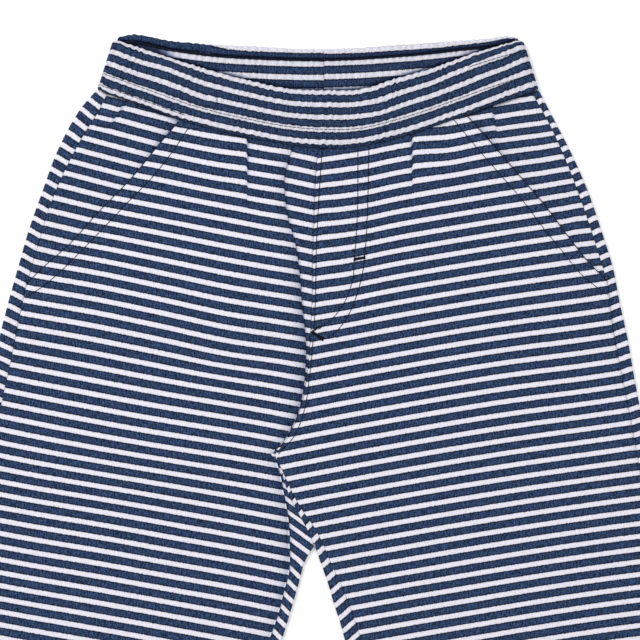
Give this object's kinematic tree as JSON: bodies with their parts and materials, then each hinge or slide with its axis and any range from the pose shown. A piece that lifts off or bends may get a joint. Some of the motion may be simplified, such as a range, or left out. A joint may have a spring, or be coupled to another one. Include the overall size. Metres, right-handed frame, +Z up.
{
  "type": "striped jersey pull-on shorts, laid flat",
  "caption": "Knee-length pull-on shorts in striped jersey with a gathered elastic waistband, slanted pockets and a mock fly, laid flat with the front up.",
  "frame": {"origin": "centre of the laid-out garment's outline, on the surface it lies on", "axes": "+X to the right as one looks down on the front, +Y towards the waist, +Z up off the surface"},
  "size_m": [0.5158, 0.4917, 0.0072],
  "materials": {
    "striped_jersey": "soft cotton jersey, heather navy with narrow white stripes",
    "waistband_jersey": "the same striped jersey, doubled and gathered over elastic",
    "pocket_jersey": "the same striped jersey, a little in shade inside the pocket mouth"
  },
  "bodies": {
    "root": {"waistband": "waistband_jersey", "front_left": "striped_jersey", "front_right": "striped_jersey", "back_left": "striped_jersey", "back_right": "striped_jersey", "pocket_facing_left": "pocket_jersey", "pocket_facing_right": "pocket_jersey"}
  },
  "joints": []
}
